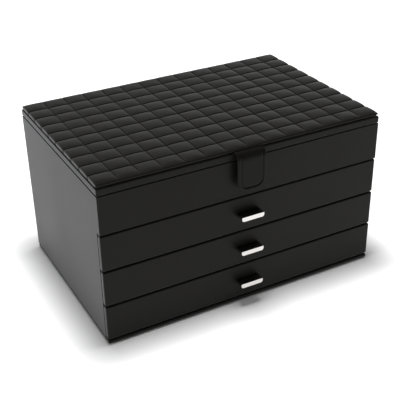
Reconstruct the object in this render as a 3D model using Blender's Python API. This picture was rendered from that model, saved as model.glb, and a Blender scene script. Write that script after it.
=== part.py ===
"""Jewellery chest: quilted lid over an open tray, three drawers below.

Metres, +Z up. X is the width, the front faces -Y, and the origin is the
centre of the underside.
"""

import math

import bmesh
import bpy
from mathutils import Matrix, Vector

# Outer size of the closed chest in plan.
CHEST_WIDTH = 0.340
CHEST_DEPTH = 0.224

# Clearances.
SEAT_GAP = 0.0003
FRONT_GAP = 0.0014
LID_GAP = 0.0009
DRAWER_SIDE_CLEARANCE = 0.0008
DRAWER_REAR_CLEARANCE = 0.004
LINING_CLEARANCE = 0.003
CUT_OVERRUN = 0.001

# Foot felt and base board.
FELT_THICKNESS = 0.0008
FELT_INSET = 0.004
BASE_THICKNESS = 0.0051
BASE_EDGE_RADIUS = 0.0015

# Carcase boards.
SIDE_THICKNESS = 0.008
BACK_THICKNESS = 0.006
SHELF_THICKNESS = 0.004
TRAY_FLOOR_THICKNESS = 0.005
RIM_EDGE_RADIUS = 0.001
BOARD_EDGE_RADIUS = 0.0004

# Drawer fronts and the fixed front panel above them, all in one plane.
DRAWER_COUNT = 3
FRONT_THICKNESS = 0.007
DRAWER_FRONT_HEIGHT = 0.0415
UPPER_FRONT_HEIGHT = 0.0434
FRONT_EDGE_RADIUS = 0.0016

# Drawer boxes.
DRAWER_WALL_THICKNESS = 0.005
DRAWER_HEADROOM = 0.0046
DRAWER_BOTTOM_THICKNESS = 0.003
DIVIDER_THICKNESS = 0.004
DIVIDER_HEIGHT = 0.022
DIVIDER_PLACE_SHARE = 0.62

# Bar pulls, one at the middle of each drawer front, and their screws.
PULL_WIDTH = 0.0276
PULL_DEPTH = 0.0115
PULL_HEIGHT = 0.0056
PULL_CORNER_RADIUS = 0.0025
PULL_EDGE_RADIUS = 0.0004
PULL_SCREW_RADIUS = 0.0011
PULL_SCREW_BITE = 0.0055
PULL_SCREW_HEAD_RADIUS = 0.0028
PULL_SCREW_HEAD_HEIGHT = 0.0016

# Top tray inside the case.
TRAY_DIVIDER_THICKNESS = 0.005
TRAY_DIVIDER_HEIGHT = 0.030
TRAY_ACROSS_SHARE = 0.50
TRAY_ALONG_SHARE = 0.64
RING_PAD_HEIGHT = 0.025
RING_PAD_CLEARANCE = 0.001
RING_ROLL_COUNT = 5
RING_SLIT_DEPTH = 0.013
RING_SLIT_WIDTH = 0.0008

# Lid board, its lining frame and its mirror.
LID_THICKNESS = 0.0075
LID_EDGE_RADIUS = 0.0016
LINING_THICKNESS = 0.0025
LINING_BORDER = 0.016
MIRROR_THICKNESS = 0.002

# Quilted cushion on the lid: sewn cells, a drawn-in neck and a rolled edge.
QUILT_COLUMNS = 14
QUILT_ROWS = 10
PAD_HEIGHT = 0.0053
PAD_EDGE_INSET = 0.0008
PAD_NECK_INSET = 0.0055
PAD_NECK_HEIGHT = 0.0016
PAD_SHOULDER = 0.0015
PAD_SHOULDER_DROP = 0.0006
PAD_BULGE_DROP = 0.0022
PAD_SKIRT_HEIGHT = 0.0019
PAD_SEAM_DEPTH = 0.0012
PAD_CROSSING_DEPTH = 0.0016
PAD_SCALLOP_DEPTH = 0.0005

# Closing tab: a leather strap sewn in under the cushion, held by a magnet.
TAB_WIDTH = 0.035
TAB_THICKNESS = 0.0022
TAB_ROOT_THICKNESS = 0.0012
TAB_CORNER_RADIUS = 0.0125
TAB_EDGE_RADIUS = 0.0004
TAB_ARCH_DROP = 0.0045
TAB_LENGTH = 0.044
TAB_MAGNET_RADIUS = 0.0085
TAB_MAGNET_THICKNESS = 0.0032
TAB_MAGNET_RISE = 0.0130
KEEPER_RADIUS = 0.0090
KEEPER_THICKNESS = 0.0020
DISC_EDGE_RADIUS = 0.0003

# Lid hinges on the back: rolled leaves, a pin and a heel that stops the lid.
HINGE_INSET = 0.065
HINGE_LENGTH = 0.030
CENTRE_KNUCKLE_LENGTH = 0.011
BARREL_RADIUS = 0.0026
PIN_RADIUS = 0.0012
PIN_CLEARANCE = 0.0001
PIN_HEAD_RADIUS = 0.0019
PIN_HEAD_THICKNESS = 0.0008
LEAF_THICKNESS = 0.0010
CASE_LEAF_HEIGHT = 0.014
LID_LEAF_MARGIN = 0.0006
HEEL_THICKNESS = 0.0010
LID_OPEN_DEGREES = 98
LEAF_SCREW_OFFSET = 0.0100
LEAF_SCREW_RADIUS = 0.0007
LEAF_SCREW_LENGTH = 0.0050
LEAF_SCREW_HEAD_RADIUS = 0.0015
LEAF_SCREW_HEAD_HEIGHT = 0.0008

# Facets round a full turn.
ROUND_STEPS = 24
SCREW_STEPS = 12
DISC_STEPS = 32
CORNER_STEPS = 6
EDGE_STEPS = 2
ARCH_STEPS = 8
ROLL_STEPS = 8

# Levels, from the floor up.
BASE_BOTTOM = FELT_THICKNESS + SEAT_GAP
BASE_TOP = BASE_BOTTOM + BASE_THICKNESS
CASE_BOTTOM = BASE_TOP + SEAT_GAP
FRONT_PITCH = DRAWER_FRONT_HEIGHT + FRONT_GAP
DRAWER_WALL_HEIGHT = FRONT_PITCH - SHELF_THICKNESS - SEAT_GAP - DRAWER_HEADROOM
FIRST_FRONT_BOTTOM = BASE_TOP + FRONT_GAP
FIRST_SEAM = FIRST_FRONT_BOTTOM - FRONT_GAP / 2
FIRST_CELL_FLOOR = FIRST_SEAM + SHELF_THICKNESS / 2
UPPER_FRONT_BOTTOM = FIRST_FRONT_BOTTOM + DRAWER_COUNT * FRONT_PITCH
TOP_SEAM = FIRST_SEAM + DRAWER_COUNT * FRONT_PITCH
TRAY_FLOOR_TOP = TOP_SEAM + TRAY_FLOOR_THICKNESS / 2
RIM_TOP = UPPER_FRONT_BOTTOM + UPPER_FRONT_HEIGHT
LID_BOTTOM = RIM_TOP + LID_GAP
LID_TOP = LID_BOTTOM + LID_THICKNESS
PAD_BOTTOM = LID_TOP + SEAT_GAP
PAD_TOP = PAD_BOTTOM + PAD_HEIGHT

# Planes in plan.
SIDE_X = CHEST_WIDTH / 2
INNER_X = SIDE_X - SIDE_THICKNESS
HINGE_OFFSET = SIDE_X - HINGE_INSET
FRONT_Y = -CHEST_DEPTH / 2
REAR_Y = CHEST_DEPTH / 2
FRONT_INNER_Y = FRONT_Y + FRONT_THICKNESS
CARCASE_FRONT_Y = FRONT_INNER_Y + SEAT_GAP
BACK_INNER_Y = REAR_Y - BACK_THICKNESS

# Drawer box planes.
DRAWER_X = INNER_X - DRAWER_SIDE_CLEARANCE
DRAWER_INNER_X = DRAWER_X - DRAWER_WALL_THICKNESS - SEAT_GAP
DRAWER_REAR_Y = BACK_INNER_Y - DRAWER_REAR_CLEARANCE
DRAWER_INNER_REAR_Y = DRAWER_REAR_Y - DRAWER_WALL_THICKNESS - SEAT_GAP

# Hinge axis of the lid.
HINGE_Y = REAR_Y + SEAT_GAP + BARREL_RADIUS
HINGE_Z = (RIM_TOP + LID_BOTTOM) / 2
BORE_RADIUS = PIN_RADIUS + PIN_CLEARANCE
LEAF_CLEARANCE = BARREL_RADIUS + SEAT_GAP

# Bend axis of the tab and its stand-off from the front plane.
TAB_ROOT_RADIUS = TAB_ROOT_THICKNESS / 2
TAB_AXIS_Y = FRONT_Y - SEAT_GAP - TAB_ROOT_RADIUS
TAB_AXIS_Z = LID_TOP + SEAT_GAP + TAB_ROOT_RADIUS
KEEPER_Y = FRONT_Y - SEAT_GAP - KEEPER_THICKNESS
MAGNET_Y = KEEPER_Y - SEAT_GAP - TAB_MAGNET_THICKNESS
TAB_MIDDLE_Y = MAGNET_Y - SEAT_GAP - TAB_THICKNESS / 2
TAB_BOTTOM_Z = TAB_AXIS_Z - TAB_LENGTH
MAGNET_Z = TAB_BOTTOM_Z + TAB_MAGNET_RISE


def clear_scene():
    for thing in list(bpy.data.objects):
        bpy.data.objects.remove(thing, do_unlink=True)


def make_material(name, colour, roughness, metallic):
    material = bpy.data.materials.new(name)
    material.use_nodes = True
    shader = material.node_tree.nodes["Principled BSDF"]
    shader.inputs["Base Color"].default_value = (*colour, 1.0)
    shader.inputs["Roughness"].default_value = roughness
    shader.inputs["Metallic"].default_value = metallic
    material.diffuse_color = (*colour, 1.0)
    return material


def origin_of(thing):
    """World place of an unrotated object or of its chain of parents."""
    place = Vector()
    while thing is not None:
        place = place + thing.location
        thing = thing.parent
    return place


def axis_empty(name, place, holder=None):
    empty = bpy.data.objects.new(name, None)
    bpy.context.scene.collection.objects.link(empty)
    empty.parent = holder
    empty.location = Vector(place) - origin_of(holder)
    return empty


def mesh_of(name, shape):
    bmesh.ops.recalc_face_normals(shape, faces=shape.faces)
    mesh = bpy.data.meshes.new(name)
    shape.to_mesh(mesh)
    shape.free()
    return mesh


def add_piece(name, mesh, material, place, holder=None, turn=(0.0, 0.0, 0.0)):
    thing = bpy.data.objects.new(name, mesh)
    bpy.context.scene.collection.objects.link(thing)
    if not mesh.materials:
        mesh.materials.append(material)
    thing.parent = holder
    thing.location = Vector(place) - origin_of(holder)
    thing.rotation_euler = turn
    return thing


def add_cutter(name, mesh, place, holder=None):
    thing = bpy.data.objects.new(name, mesh)
    bpy.context.scene.collection.objects.link(thing)
    thing.parent = holder
    thing.location = Vector(place) - origin_of(holder)
    thing.hide_render = True
    thing.display_type = "WIRE"
    return thing


def cut(thing, cutter):
    modifier = thing.modifiers.new("cut", "BOOLEAN")
    modifier.operation = "DIFFERENCE"
    modifier.solver = "EXACT"
    modifier.object = cutter
    return modifier


def add_block(shape, low, high):
    """A box between two corners, added to a bmesh."""
    size = Vector(high) - Vector(low)
    middle = (Vector(low) + Vector(high)) / 2
    made = bmesh.ops.create_cube(shape, size=1)
    bmesh.ops.scale(shape, vec=size, verts=made["verts"])
    bmesh.ops.translate(shape, vec=middle, verts=made["verts"])


def add_rod(shape, radius, start, end, steps):
    """A solid rod between two points, added to a bmesh."""
    run = Vector(end) - Vector(start)
    made = bmesh.ops.create_cone(
        shape, cap_ends=True, segments=steps, radius1=1, radius2=1, depth=1
    )
    bmesh.ops.scale(shape, vec=(radius, radius, run.length), verts=made["verts"])
    turn = run.to_track_quat("Z", "Y").to_matrix()
    bmesh.ops.rotate(shape, matrix=turn, verts=made["verts"])
    bmesh.ops.translate(shape, vec=Vector(start) + run / 2, verts=made["verts"])


def board(name, low, high, material, holder=None, eased=True):
    """A board between two world corners, origin at its centre, edges eased."""
    half = (Vector(high) - Vector(low)) / 2
    shape = bmesh.new()
    add_block(shape, -half, half)
    place = Vector(low) + half
    thing = add_piece(name, mesh_of(name, shape), material, place, holder)
    if eased:
        round_edges(thing, BOARD_EDGE_RADIUS, None, 1)
    return thing


def round_edges(thing, radius, chosen=None, steps=EDGE_STEPS):
    """Round the chosen edges of a piece, or all of them."""
    modifier = thing.modifiers.new("rounding", "BEVEL")
    modifier.width = radius
    modifier.segments = steps
    if chosen is None:
        modifier.limit_method = "NONE"
        return
    mesh = thing.data
    weights = mesh.attributes.new("bevel_weight_edge", "FLOAT", "EDGE")
    for edge in mesh.edges:
        first = mesh.vertices[edge.vertices[0]].co
        second = mesh.vertices[edge.vertices[1]].co
        weights.data[edge.index].value = 1.0 if chosen(first, second) else 0.0
    modifier.limit_method = "WEIGHT"


def shade_round(thing, degrees=40):
    thing.data.shade_smooth()
    thing.data.set_sharp_from_angle(angle=math.radians(degrees))


def prism(outline, low, high, axis):
    """An outline of 2D points run along X, Y or Z between two places."""
    order = {"X": (2, 0, 1), "Y": (0, 2, 1), "Z": (0, 1, 2)}[axis]
    shape = bmesh.new()
    ends = []
    for level in (low, high):
        ring = []
        for point in outline:
            values = (point[0], point[1], level)
            ring.append(shape.verts.new([values[i] for i in order]))
        ends.append(ring)
    shape.faces.new(ends[0])
    shape.faces.new(ends[1])
    count = len(outline)
    for i in range(count):
        j = (i + 1) % count
        shape.faces.new((ends[0][i], ends[0][j], ends[1][j], ends[1][i]))
    return shape


def loft(rings):
    """A closed solid through rings of points, capped at both ends."""
    shape = bmesh.new()
    loops = [[shape.verts.new(point) for point in ring] for ring in rings]
    count = len(loops[0])
    for first, second in zip(loops, loops[1:]):
        for i in range(count):
            j = (i + 1) % count
            shape.faces.new((first[i], first[j], second[j], second[i]))
    shape.faces.new(loops[0])
    shape.faces.new(loops[-1])
    return shape


def lathe(profile, steps):
    """A solid turned about Z from (radius, height) points between two poles."""
    shape = bmesh.new()
    loops = []
    for radius, height in profile[1:-1]:
        loop = []
        for i in range(steps):
            angle = math.tau * i / steps
            point = (radius * math.cos(angle), radius * math.sin(angle), height)
            loop.append(shape.verts.new(point))
        loops.append(loop)
    poles = [shape.verts.new((0, 0, profile[i][1])) for i in (0, -1)]
    for i in range(steps):
        j = (i + 1) % steps
        shape.faces.new((poles[0], loops[0][i], loops[0][j]))
        shape.faces.new((poles[1], loops[-1][j], loops[-1][i]))
        for first, second in zip(loops, loops[1:]):
            shape.faces.new((first[i], first[j], second[j], second[i]))
    return shape


def arc(centre, radius, start, end, steps):
    """Points of an arc, angles in degrees, both ends included."""
    points = []
    for i in range(steps + 1):
        angle = math.radians(start + (end - start) * i / steps)
        across = centre[0] + radius * math.cos(angle)
        up = centre[1] + radius * math.sin(angle)
        points.append((across, up))
    return points


def screw_mesh(name, radius, length, head_radius, head_height):
    """A round-headed screw along Z, the underside of its head at Z = 0."""
    profile = [
        (0, head_height),
        (head_radius / 2, head_height),
        (head_radius, head_height / 2),
        (head_radius, 0),
        (radius, 0),
        (radius, -(length - radius)),
        (radius / 2, -length),
        (0, -length),
    ]
    return mesh_of(name, lathe(profile, SCREW_STEPS))


def build_base(leather, felt):
    low = (-SIDE_X + FELT_INSET, FRONT_Y + FELT_INSET, 0)
    high = (SIDE_X - FELT_INSET, REAR_Y - FELT_INSET, FELT_THICKNESS)
    board("base_felt", low, high, felt, None, False)
    low = (-SIDE_X, FRONT_Y, BASE_BOTTOM)
    high = (SIDE_X, REAR_Y, BASE_TOP)
    base = board("base_board", low, high, leather, None, False)
    round_edges(base, BASE_EDGE_RADIUS)


def side_mesh(name, outward):
    """Side board: an L in side view whose upper front edge is mitred.

    Below the fixed front panel the board stops behind the drawer fronts.
    """
    outline = [
        (CARCASE_FRONT_Y, CASE_BOTTOM),
        (REAR_Y, CASE_BOTTOM),
        (REAR_Y, RIM_TOP),
        (FRONT_Y, RIM_TOP),
        (FRONT_Y, UPPER_FRONT_BOTTOM),
        (CARCASE_FRONT_Y, UPPER_FRONT_BOTTOM),
    ]
    half = SIDE_THICKNESS / 2
    shape = prism(outline, -half, half, "X")
    for vertex in shape.verts:
        inner = vertex.co.x * outward < 0
        if inner and vertex.co.y < CARCASE_FRONT_Y - SEAT_GAP:
            vertex.co.y = FRONT_INNER_Y
    return mesh_of(name, shape)


def build_sides(leather):
    for name, outward in (("left_side_panel", -1), ("right_side_panel", 1)):
        place = (outward * (SIDE_X - SIDE_THICKNESS / 2), 0, 0)
        side = add_piece(name, side_mesh(name, outward), leather, place)

        def outer_edge(first, second, way=outward):
            on_face = first.x * way > 0 and second.x * way > 0
            mitre = first.y == second.y and abs(first.y - FRONT_Y) < SEAT_GAP
            return on_face and not mitre

        round_edges(side, RIM_EDGE_RADIUS, outer_edge)


def build_upper_front(leather):
    """Fixed front panel, mitred into the sides so no end grain shows."""
    slant = math.hypot(SIDE_THICKNESS, FRONT_THICKNESS)
    shift = SEAT_GAP * slant / FRONT_THICKNESS
    outer = SIDE_X - shift
    inner = INNER_X - shift
    outline = [
        (-outer, FRONT_Y),
        (outer, FRONT_Y),
        (inner, FRONT_INNER_Y),
        (-inner, FRONT_INNER_Y),
    ]
    half = UPPER_FRONT_HEIGHT / 2
    middle = (FRONT_Y + FRONT_INNER_Y) / 2
    outline = [(x, y - middle) for x, y in outline]
    mesh = mesh_of("upper_front_panel", prism(outline, -half, half, "Z"))
    place = (0, middle, UPPER_FRONT_BOTTOM + half)
    panel = add_piece("upper_front_panel", mesh, leather, place)

    def long_outer_edge(first, second):
        return first.y < 0 and second.y < 0 and first.z == second.z

    round_edges(panel, RIM_EDGE_RADIUS, long_outer_edge)


def build_carcase(leather, velvet):
    """Case floor, back panel, the two shelves and the floor of the tray."""
    across = INNER_X - SEAT_GAP
    rear = BACK_INNER_Y - SEAT_GAP
    low = (-across, CARCASE_FRONT_Y, CASE_BOTTOM)
    board("case_floor", low, (across, rear, FIRST_CELL_FLOOR), velvet)
    for name, step in (("shelf_lower", 1), ("shelf_upper", 2)):
        middle = FIRST_SEAM + step * FRONT_PITCH
        low = (-across, CARCASE_FRONT_Y, middle - SHELF_THICKNESS / 2)
        board(name, low, (across, rear, middle + SHELF_THICKNESS / 2), velvet)
    low = (-across, CARCASE_FRONT_Y, TRAY_FLOOR_TOP - TRAY_FLOOR_THICKNESS)
    board("tray_floor", low, (across, rear, TRAY_FLOOR_TOP), velvet)

    low = (-across, BACK_INNER_Y, CASE_BOTTOM)
    back = board("back_panel", low, (across, REAR_Y, RIM_TOP), leather)
    cut(back, leaf_screw_holes("back_screw_holes", REAR_Y, CASE_SCREW_Z))


def build_tray(velvet, cushion):
    """Dividers of the open tray under the lid, and its ring cushion."""
    floor = TRAY_FLOOR_TOP + SEAT_GAP
    top = floor + TRAY_DIVIDER_HEIGHT
    half = TRAY_DIVIDER_THICKNESS / 2
    across = INNER_X - SEAT_GAP
    front = FRONT_INNER_Y + SEAT_GAP
    split_y = FRONT_INNER_Y + (BACK_INNER_Y - FRONT_INNER_Y) * TRAY_ACROSS_SHARE
    split_x = -INNER_X + (INNER_X + INNER_X) * TRAY_ALONG_SHARE
    low = (-across, split_y - half, floor)
    board("tray_divider_long", low, (across, split_y + half, top), velvet)
    low = (split_x - half, front, floor)
    high = (split_x + half, split_y - half - SEAT_GAP, top)
    board("tray_divider_cross", low, high, velvet)

    left = -INNER_X + RING_PAD_CLEARANCE
    right = split_x - half - RING_PAD_CLEARANCE
    near = FRONT_INNER_Y + RING_PAD_CLEARANCE
    far = split_y - half - RING_PAD_CLEARANCE
    mesh = ring_pad_mesh("ring_pad", right - left, far - near)
    place = ((left + right) / 2, (near + far) / 2, floor)
    pad = add_piece("ring_pad", mesh, cushion, place)
    shade_round(pad)


def ring_pad_mesh(name, length, depth):
    """Soft rolls side by side; rings sit in the slits between them."""
    pitch = depth / RING_ROLL_COUNT
    half_slit = RING_SLIT_WIDTH / 2
    roll = pitch / 2 - half_slit
    slit = RING_PAD_HEIGHT - RING_SLIT_DEPTH
    spring = RING_PAD_HEIGHT - min(roll, RING_SLIT_DEPTH * ROLL_RISE_SHARE)
    outline = [(-depth / 2, 0)]
    for i in range(RING_ROLL_COUNT):
        middle = -depth / 2 + pitch * (i + 1 / 2)
        left = -depth / 2 if i == 0 else middle - roll
        right = depth / 2 if i == RING_ROLL_COUNT - 1 else middle + roll
        if i > 0:
            outline.append((left, slit))
        for step in range(ROLL_STEPS + 1):
            angle = math.pi * (1 - step / ROLL_STEPS)
            across = (left + right) / 2 + (right - left) / 2 * math.cos(angle)
            up = spring + (RING_PAD_HEIGHT - spring) * math.sin(angle)
            outline.append((across, up))
        if i < RING_ROLL_COUNT - 1:
            outline.append((right, slit))
    outline.append((depth / 2, 0))
    return mesh_of(name, prism(outline, -length / 2, length / 2, "X"))


def build_drawer(name, level, front_leather, velvet, chrome, steel, screw, holder):
    """One drawer: overlay front, four boards, and its bar pull."""
    front_low = FIRST_FRONT_BOTTOM + level * FRONT_PITCH
    front_high = front_low + DRAWER_FRONT_HEIGHT
    low = (-SIDE_X, FRONT_Y, front_low)
    high = (SIDE_X, FRONT_INNER_Y, front_high)
    front = board(name + "_front", low, high, front_leather, holder, False)

    def outer_edge(first, second):
        return (first.y < 0 and second.y < 0) or first.y * second.y < 0

    bottom = FIRST_CELL_FLOOR + level * FRONT_PITCH + SEAT_GAP
    top = bottom + DRAWER_WALL_HEIGHT
    near = FRONT_INNER_Y + SEAT_GAP
    for side, way in (("_left", -1), ("_right", 1)):
        edges = sorted((way * DRAWER_X, way * (DRAWER_X - DRAWER_WALL_THICKNESS)))
        low = (edges[0], near, bottom)
        high = (edges[1], DRAWER_REAR_Y, top)
        board(name + side, low, high, velvet, holder)
    low = (-DRAWER_INNER_X, DRAWER_REAR_Y - DRAWER_WALL_THICKNESS, bottom)
    board(name + "_back", low, (DRAWER_INNER_X, DRAWER_REAR_Y, top), velvet, holder)
    floor = bottom + DRAWER_BOTTOM_THICKNESS
    low = (-DRAWER_INNER_X, near, bottom)
    high = (DRAWER_INNER_X, DRAWER_INNER_REAR_Y, floor)
    board(name + "_bottom", low, high, velvet, holder)

    middle = (front_low + front_high) / 2
    seat = FRONT_Y - SEAT_GAP
    pull = add_piece(name + "_pull", pull_mesh(name), chrome, (0, seat, middle), holder)
    bite = seat - PULL_SCREW_BITE
    place = (0, FRONT_INNER_Y + SEAT_GAP, middle)
    turn = (-math.pi / 2, 0, 0)
    add_piece(name + "_pull_screw", screw, steel, place, holder, turn)
    shape = bmesh.new()
    start = (0, bite - place[1] - SEAT_GAP, 0)
    end = (0, CUT_OVERRUN, 0)
    add_rod(shape, PULL_SCREW_RADIUS + SEAT_GAP, start, end, SCREW_STEPS)
    hole = add_cutter(name + "_screw_hole", mesh_of(name + "_hole", shape), place, holder)
    cut(front, hole)
    cut(pull, hole)
    round_edges(front, FRONT_EDGE_RADIUS, outer_edge)
    shade_round(pull)


def pull_mesh(name):
    """Bar with rounded ends, its back at Y = 0 and its face edge eased."""
    across = PULL_WIDTH / 2 - PULL_CORNER_RADIUS
    rise = PULL_HEIGHT / 2 - PULL_CORNER_RADIUS
    outline = arc((across, rise), PULL_CORNER_RADIUS, 0, 90, CORNER_STEPS)
    outline += arc((-across, rise), PULL_CORNER_RADIUS, 90, 180, CORNER_STEPS)
    outline += arc((-across, -rise), PULL_CORNER_RADIUS, 180, 270, CORNER_STEPS)
    outline += arc((across, -rise), PULL_CORNER_RADIUS, 270, 360, CORNER_STEPS)
    shape = prism(outline, -PULL_DEPTH, 0, "Y")
    rim = [e for e in shape.edges if max(v.co.y for v in e.verts) < -PULL_DEPTH / 2]
    bmesh.ops.bevel(
        shape, geom=rim, offset=PULL_EDGE_RADIUS, segments=EDGE_STEPS, affect="EDGES"
    )
    return mesh_of(name + "_pull", shape)


def build_drawers(leather, velvet, chrome, steel):
    length = PULL_SCREW_BITE + FRONT_THICKNESS + SEAT_GAP + SEAT_GAP
    screw = screw_mesh(
        "pull_screw", PULL_SCREW_RADIUS, length,
        PULL_SCREW_HEAD_RADIUS, PULL_SCREW_HEAD_HEIGHT,
    )
    for index in range(DRAWER_COUNT):
        name = "drawer_" + str(index + 1)
        level = DRAWER_COUNT - 1 - index
        height = FIRST_FRONT_BOTTOM + level * FRONT_PITCH + DRAWER_FRONT_HEIGHT / 2
        holder = axis_empty(name + "_slide", (0, FRONT_Y, height))
        build_drawer(name, level, leather, velvet, chrome, steel, screw, holder)
        if index < 2:
            build_drawer_dividers(name, level, index == 0, velvet, holder)


def build_drawer_dividers(name, level, crossed, velvet, holder):
    """Partition from side to side, and one from the front on the top drawer."""
    floor = FIRST_CELL_FLOOR + level * FRONT_PITCH + SEAT_GAP
    floor = floor + DRAWER_BOTTOM_THICKNESS + SEAT_GAP
    top = floor + DIVIDER_HEIGHT
    near = FRONT_INNER_Y + SEAT_GAP
    half = DIVIDER_THICKNESS / 2
    middle = near + (DRAWER_INNER_REAR_Y - near) * DIVIDER_PLACE_SHARE
    low = (-DRAWER_INNER_X, middle - half, floor)
    high = (DRAWER_INNER_X, middle + half, top)
    board(name + "_divider_long", low, high, velvet, holder)
    if crossed:
        place = DRAWER_INNER_X - (DRAWER_INNER_X + DRAWER_INNER_X) * DIVIDER_PLACE_SHARE
        low = (place - half, near, floor)
        high = (place + half, middle - half - SEAT_GAP, top)
        board(name + "_divider_cross", low, high, velvet, holder)


def build_lid(leather, velvet, mirror, holder):
    low = (-SIDE_X, FRONT_Y, LID_BOTTOM)
    high = (SIDE_X, REAR_Y, LID_TOP)
    lid = board("lid_board", low, high, leather, holder, False)
    round_edges(lid, LID_EDGE_RADIUS)
    cut(lid, leaf_screw_holes("lid_screw_holes", REAR_Y, LID_SCREW_Z, holder))

    top = LID_BOTTOM - SEAT_GAP
    outer_x = INNER_X - LINING_CLEARANCE
    near = FRONT_INNER_Y + LINING_CLEARANCE
    far = BACK_INNER_Y - LINING_CLEARANCE
    low = Vector((-outer_x, near, top - LINING_THICKNESS))
    high = Vector((outer_x, far, top))
    lining = board("lid_lining", low, high, velvet, holder)
    inset = Vector((LINING_BORDER, LINING_BORDER, -CUT_OVERRUN))
    shape = bmesh.new()
    half = (high - low) / 2 - inset
    add_block(shape, -half, half)
    window = mesh_of("lining_window", shape)
    cut(lining, add_cutter("lining_window", window, (low + high) / 2, holder))

    seat = Vector((LINING_BORDER + SEAT_GAP, LINING_BORDER + SEAT_GAP, 0))
    low = low + seat
    high = high - seat
    low.z = top - MIRROR_THICKNESS
    board("mirror", low, high, mirror, holder, False)


def quilt_places(half, cells):
    """Half-cell places across the cushion; the outer ones sit on the shoulder."""
    pitch = (half + half) / cells
    places = [-half + pitch * i / 2 for i in range(2 * cells + 1)]
    places[0] = -half + PAD_SHOULDER
    places[-1] = half - PAD_SHOULDER
    return places


def quilt_height(i, j, columns, rows):
    """Crown in each cell, low along the seams, lowest where they cross."""
    edge = i in (0, columns) or j in (0, rows)
    seams = (i % 2 == 0 and 0 < i < columns) + (j % 2 == 0 and 0 < j < rows)
    height = PAD_HEIGHT - (PAD_SHOULDER_DROP if edge else 0)
    if seams == 1:
        height -= PAD_SEAM_DEPTH / (2 if edge else 1)
    if seams == 2:
        height -= PAD_CROSSING_DEPTH
    return height


def quilt_mesh(name):
    """Cushion of sewn cells, its scalloped edge rolled in to a flat neck."""
    half_x = SIDE_X - PAD_EDGE_INSET
    half_y = CHEST_DEPTH / 2 - PAD_EDGE_INSET
    across = quilt_places(half_x, QUILT_COLUMNS)
    along = quilt_places(half_y, QUILT_ROWS)
    last_i = len(across) - 1
    last_j = len(along) - 1
    shape = bmesh.new()
    grid = {}
    for i, x in enumerate(across):
        for j, y in enumerate(along):
            height = quilt_height(i, j, last_i, last_j)
            grid[i, j] = shape.verts.new((x, y, height))
    for i in range(last_i):
        for j in range(last_j):
            corners = (grid[i, j], grid[i + 1, j], grid[i + 1, j + 1], grid[i, j + 1])
            shape.faces.new(corners)

    border = [(i, 0) for i in range(last_i)]
    border += [(last_i, j) for j in range(last_j)]
    border += [(i, last_j) for i in range(last_i, 0, -1)]
    border += [(0, j) for j in range(last_j, 0, -1)]
    bulge = PAD_HEIGHT - PAD_BULGE_DROP
    neck_x = SIDE_X - PAD_NECK_INSET
    neck_y = CHEST_DEPTH / 2 - PAD_NECK_INSET
    rings = [[grid[key] for key in border], [], [], [], []]
    for i, j in border:
        x = across[i]
        y = along[j]
        way_x = (i == last_i) - (i == 0)
        way_y = (j == last_j) - (j == 0)
        seam = (way_x == 0 and i % 2 == 0) or (way_y == 0 and j % 2 == 0)
        out = PAD_SHOULDER - (PAD_SCALLOP_DEPTH if seam else 0)
        swell = (x + way_x * out, y + way_y * out, bulge)
        rings[1].append(shape.verts.new(swell))
        rings[2].append(shape.verts.new((swell[0], swell[1], PAD_SKIRT_HEIGHT)))
        low_x = way_x * neck_x if way_x else max(-neck_x, min(neck_x, x))
        low_y = way_y * neck_y if way_y else max(-neck_y, min(neck_y, y))
        rings[3].append(shape.verts.new((low_x, low_y, PAD_NECK_HEIGHT)))
        rings[4].append(shape.verts.new((low_x, low_y, 0)))
    count = len(border)
    for first, second in zip(rings, rings[1:]):
        for i in range(count):
            j = (i + 1) % count
            shape.faces.new((first[i], first[j], second[j], second[i]))
    shape.faces.new(rings[-1])
    return mesh_of(name, shape)


def build_quilt(leather, holder):
    mesh = quilt_mesh("lid_quilt")
    quilt = add_piece("lid_quilt", mesh, leather, (0, 0, PAD_BOTTOM), holder)
    shade_round(quilt, 70)


def tab_stations():
    """Middle line of the tab from its root, with half width and thickness."""
    half = TAB_WIDTH / 2
    stations = []
    for degrees in (20, 45, 70):
        angle = math.radians(degrees)
        back = TAB_ROOT_RADIUS * math.cos(angle)
        thick = TAB_ROOT_RADIUS * math.sin(angle)
        stations.append((back, 0, (-1, 0), half, thick))
    reach = TAB_AXIS_Y - TAB_MIDDLE_Y
    growth = TAB_THICKNESS / 2 - TAB_ROOT_RADIUS
    for i in range(ARCH_STEPS + 1):
        angle = math.pi / 2 * i / ARCH_STEPS
        y = -reach * math.sin(angle)
        z = -TAB_ARCH_DROP * (1 - math.cos(angle))
        ahead = Vector((-reach * math.cos(angle), -TAB_ARCH_DROP * math.sin(angle)))
        ahead.normalize()
        thick = TAB_ROOT_RADIUS + growth * i / ARCH_STEPS
        stations.append((y, z, tuple(ahead), half, thick))
    corner = -TAB_LENGTH + TAB_CORNER_RADIUS
    for i in range(CORNER_STEPS + 1):
        angle = math.pi / 2 * i / CORNER_STEPS
        z = corner - TAB_CORNER_RADIUS * math.sin(angle)
        wide = half - TAB_CORNER_RADIUS * (1 - math.cos(angle))
        stations.append((-reach, z, (0, -1), wide, TAB_THICKNESS / 2))
    return stations


def tab_mesh(name):
    """Leather tab swept down from its bend, its edge rounded over."""
    rings = []
    for y, z, ahead, half, thick in tab_stations():
        soft = min(TAB_EDGE_RADIUS, thick / 2)
        normal = (ahead[1], -ahead[0])
        ring = []
        section = [
            (-half + soft, -thick),
            (half - soft, -thick),
            (half, -thick + soft),
            (half, thick - soft),
            (half - soft, thick),
            (-half + soft, thick),
            (-half, thick - soft),
            (-half, -thick + soft),
        ]
        for x, out in section:
            ring.append((x, y + normal[0] * out, z + normal[1] * out))
        rings.append(ring)
    return mesh_of(name, loft(rings))


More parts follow.
